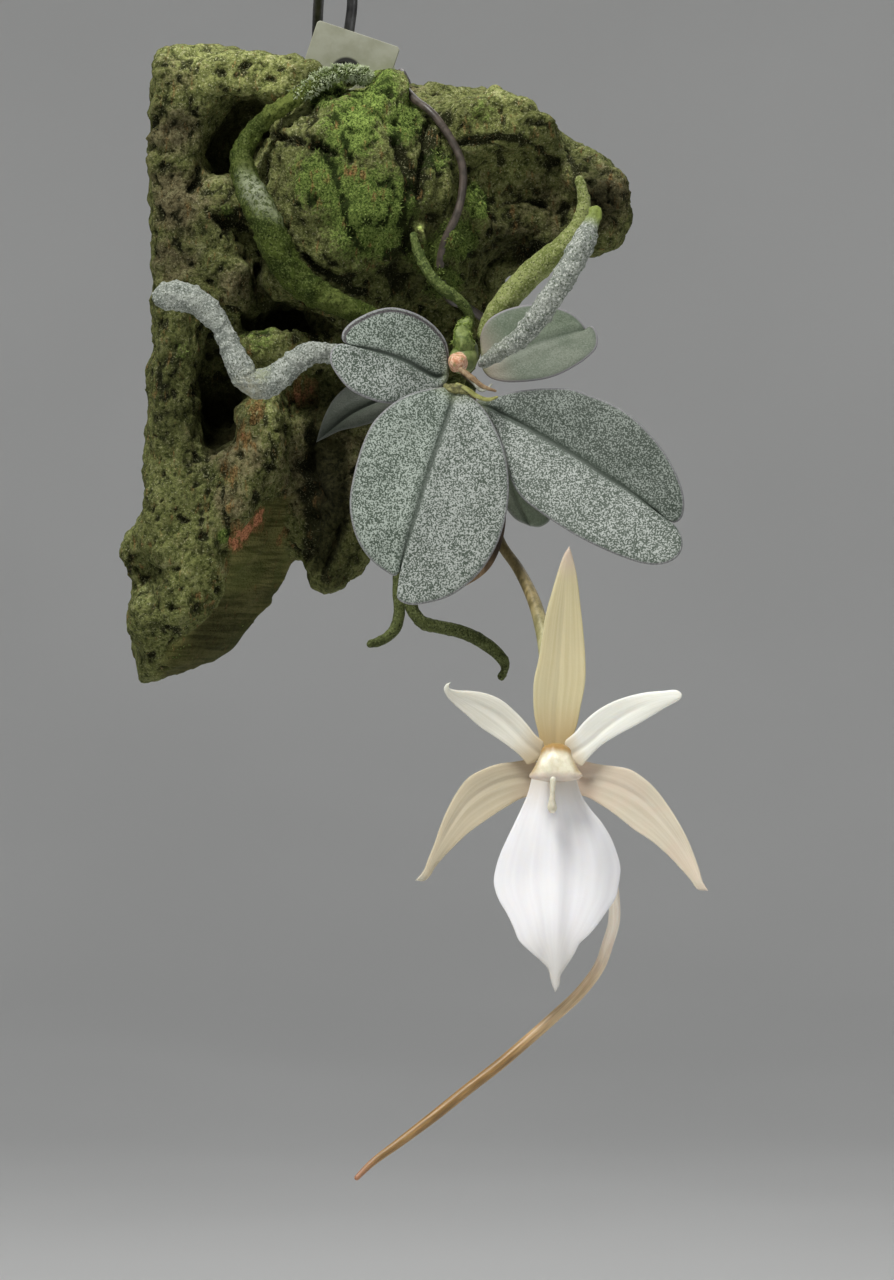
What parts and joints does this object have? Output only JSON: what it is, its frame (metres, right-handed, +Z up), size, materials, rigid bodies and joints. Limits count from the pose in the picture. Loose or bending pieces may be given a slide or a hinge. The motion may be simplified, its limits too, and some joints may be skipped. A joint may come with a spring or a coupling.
{
  "type": "orchid mounted on bark",
  "caption": "Small grey-leaved orchid in flower, rooted to a rough bark slab that hangs from a wire hook, with a blank tag.",
  "frame": {"origin": "the point inside the top of the wire hook that bears on the rail it hangs from", "axes": "+Z up, +X to the right of someone facing the flower, -Y towards them; the bark's back looks along +Y"},
  "size_m": [0.0836, 0.0686, 0.2145],
  "materials": {
    "bark": "rough, mossy",
    "steel_wire": "dull galvanised",
    "label_plastic": "matt",
    "tie_wire": "plastic coated",
    "silver_root": "rough, warty",
    "green_root": "rough, warty",
    "stem": "waxy",
    "bud": "waxy",
    "sheath": "papery",
    "dry_bract": "papery",
    "leaf": "waxy, speckled",
    "flower_stalk": "waxy",
    "sepal": "satin",
    "petal": "satin",
    "lip": "satin",
    "column": "satin",
    "spur": "satin"
  },
  "bodies": {
    "root": {"bark": "bark", "hanger_wire": "steel_wire", "plant_label": "label_plastic", "tie_wire": "tie_wire", "root_over_knob": "green_root", "root_silver_left": "silver_root", "root_silver_right": "silver_root", "root_green_right": "green_root", "root_mossy_middle": "green_root", "root_lower_left": "green_root", "root_lower_right": "green_root", "stem": "stem", "crown_bud": "bud", "leaf_front": "leaf", "leaf_right": "leaf", "leaf_left": "leaf", "leaf_upper_right": "leaf", "leaf_behind_left": "leaf", "leaf_behind_below": "leaf", "leaf_sheath": "sheath", "dry_bract": "dry_bract", "flower_stalk": "flower_stalk", "sepal_top": "sepal", "petal_left": "petal", "petal_right": "petal", "sepal_left": "sepal", "sepal_right": "sepal", "lip": "lip", "column": "column", "beak": "column", "spur": "spur"}
  },
  "joints": []
}
